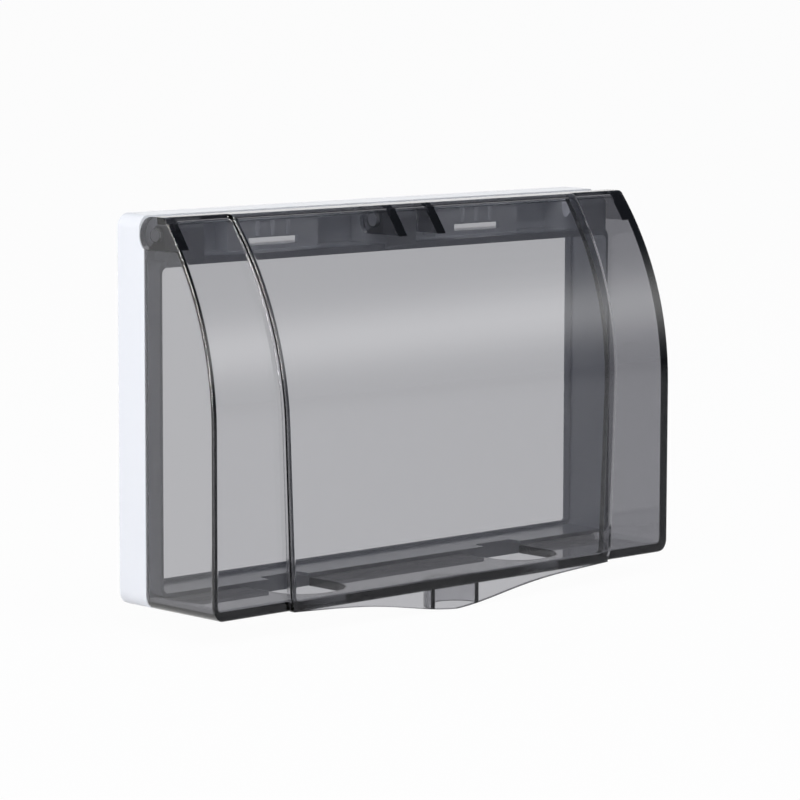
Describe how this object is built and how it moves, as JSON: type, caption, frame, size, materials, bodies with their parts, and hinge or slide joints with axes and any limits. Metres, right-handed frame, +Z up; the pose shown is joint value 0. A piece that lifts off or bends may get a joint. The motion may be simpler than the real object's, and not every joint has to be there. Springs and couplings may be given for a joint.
{
  "type": "waterproof socket cover",
  "caption": "Wall splash cover for a wide socket plate: white frame with a foam seal and a hinged, smoky clear, stepped lid with cable outlets and a finger tab.",
  "frame": {"origin": "centre of the cover's outline on the wall plane, which is the back face of the foam ring", "axes": "+X to the right along the wall, +Y into the wall, +Z up the wall; the lid stands out along -Y"},
  "size_m": [0.19, 0.045, 0.1219],
  "materials": {
    "white_plastic": "gloss",
    "smoky_plastic": "clear gloss",
    "foam": "matte"
  },
  "bodies": {
    "frame": {"base_frame": "white_plastic", "seal_ring": "foam"},
    "cover_lid": {"lid": "smoky_plastic"}
  },
  "joints": [
    {"name": "lid_hinge", "type": "hinge", "parent": "frame", "child": "cover_lid", "pos_m": [0, -0.016, 0.0518], "axis": [-1, 0, 0], "range_deg": [0, 90]}
  ]
}
